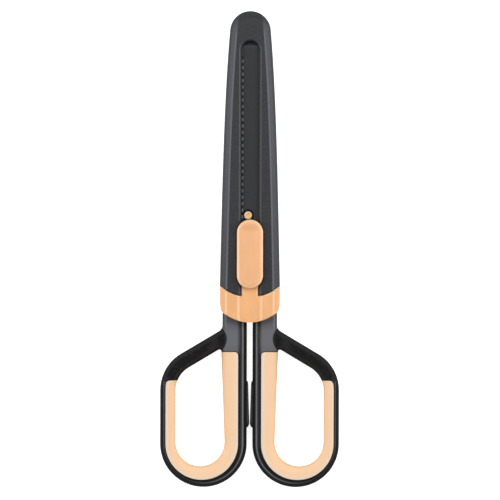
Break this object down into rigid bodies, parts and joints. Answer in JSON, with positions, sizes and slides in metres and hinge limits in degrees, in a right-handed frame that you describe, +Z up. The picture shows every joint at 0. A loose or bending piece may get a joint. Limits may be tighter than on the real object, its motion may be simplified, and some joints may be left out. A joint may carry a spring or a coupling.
{
  "type": "decorative edge scissors",
  "caption": "Wave-edge craft scissors held in a slim plastic sheath, with a snap-off paper cutter on a thumb slider along the sheath's front.",
  "frame": {"origin": "middle of the footprint, on the surface it lies on", "axes": "+X towards the right handle, +Y towards the sheath's tip, +Z up out of the sheath's front face"},
  "size_m": [0.081, 0.2156, 0.0183],
  "materials": {
    "handle_black": "matt moulded plastic, smoother on the shanks",
    "inlay_peach": "soft matt moulded rubber",
    "bumper_black": "soft rubber",
    "blade_steel": "satin stainless steel",
    "pivot_steel": "turned stainless steel",
    "nylon": "natural nylon",
    "sheath_black": "fine-grained matt plastic",
    "orange": "satin moulded plastic",
    "track_black": "black-coated steel",
    "spring_steel": "bright spring steel"
  },
  "bodies": {
    "pivot": {"pivot_screw": "pivot_steel", "pivot_nut": "pivot_steel", "front_washer": "nylon", "back_washer": "nylon"},
    "left_half": {"left_handle_frame": "handle_black", "left_grip_inlay": "inlay_peach", "left_handle_bumper": "bumper_black", "left_blade": "blade_steel"},
    "right_half": {"right_handle_frame": "handle_black", "right_grip_inlay": "inlay_peach", "right_handle_bumper": "bumper_black", "right_blade": "blade_steel"},
    "sheath": {"sheath_front_shell": "sheath_black", "sheath_back_shell": "sheath_black", "divider_plate": "sheath_black", "cutter_track": "track_black", "mouth_collar": "orange"},
    "cutter_slider": {"slider_carriage": "orange", "slider_skirt": "sheath_black", "cutter_blade": "track_black", "detent_spring": "spring_steel"},
    "button": {"slider_button": "orange"}
  },
  "joints": [
    {"name": "sheath_slide", "type": "slide", "parent": "pivot", "child": "sheath", "axis": [0, 1, 0], "range_m": [0, 0.4]},
    {"name": "right_half_open", "type": "hinge", "parent": "pivot", "child": "right_half", "pos_m": [0, -0.012, 0.0055], "axis": [0, 0, 1], "range_deg": [0, 16.5]},
    {"name": "left_half_open", "type": "hinge", "parent": "pivot", "child": "left_half", "pos_m": [0, -0.012, 0.0055], "axis": [0, 0, 1], "range_deg": [-16.5, 0]},
    {"name": "cutter_slide", "type": "slide", "parent": "sheath", "child": "cutter_slider", "axis": [0, 1, 0], "range_m": [0, 0.07333], "deforming": ["detent_spring"]},
    {"name": "button_press", "type": "slide", "parent": "cutter_slider", "child": "button", "axis": [0, 0, -1], "range_m": [0, 0.0006], "stiffness_N_per_m": 400}
  ],
  "couplings": [
    {"joint": "right_half_open", "follows": "sheath_slide", "rad_per_m": 0.698},
    {"joint": "left_half_open", "follows": "sheath_slide", "rad_per_m": -0.698}
  ]
}
